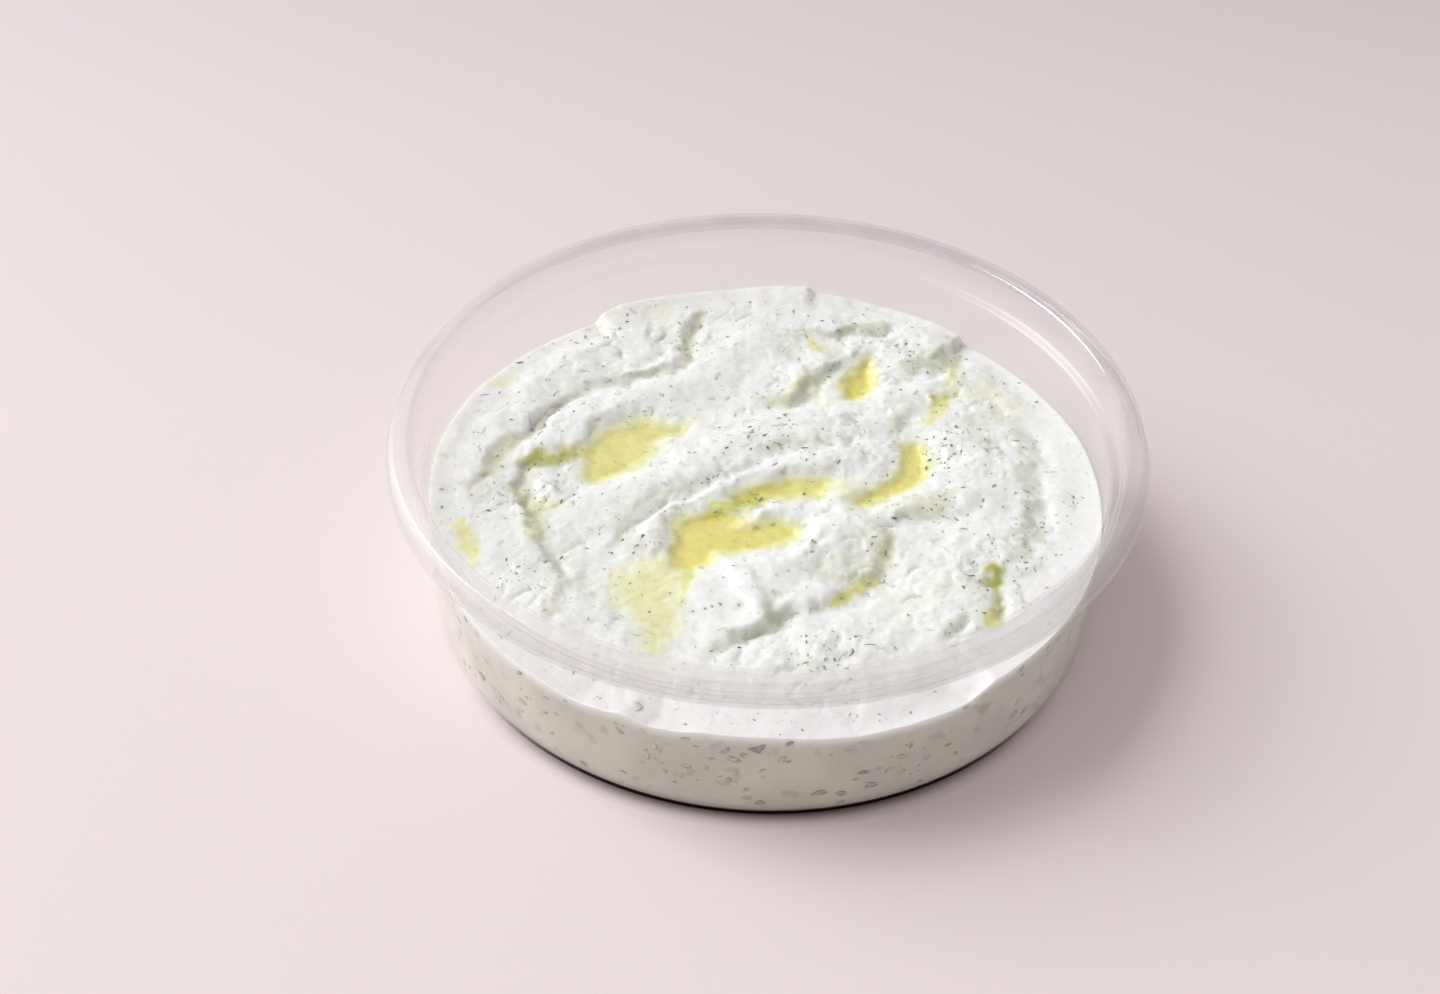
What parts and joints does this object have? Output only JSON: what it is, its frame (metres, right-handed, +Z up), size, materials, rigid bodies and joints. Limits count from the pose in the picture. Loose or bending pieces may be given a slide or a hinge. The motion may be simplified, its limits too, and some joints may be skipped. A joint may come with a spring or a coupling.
{
  "type": "tzatziki dip in a round clear pot",
  "caption": "Spooned yoghurt, cucumber and dill dip with olive oil standing in its hollows, filling the lower half of a shallow round clear plastic pot with a rolled rim.",
  "frame": {"origin": "middle of the foot ring that the pot stands on", "axes": "+Z up through the pot's open mouth, +Y towards the back, where the dip stands higher, +X to the right of someone who faces the back"},
  "size_m": [0.1182, 0.1182, 0.0325],
  "materials": {
    "clear_plastic": "clear colourless formed plastic sheet, glossy, with soft bright lines along its bends",
    "dip": "thick white strained yoghurt with grated cucumber and dill, moist, spooned into soft swells and furrows, fine grained",
    "oil": "clear yellow-green olive oil, mirror smooth, deeper in colour where it stands deeper",
    "dill": "finely chopped dill, dull dark green, partly sunk in the dip",
    "cucumber": "grated cucumber shreds, wet, pale green and slightly translucent"
  },
  "bodies": {
    "root": {"tub": "clear_plastic", "dip": "dip", "oil_pool_centre": "oil", "oil_pool_middle": "oil", "oil_pool_left": "oil", "oil_pool_right": "oil", "oil_pool_back": "oil"}
  },
  "joints": []
}
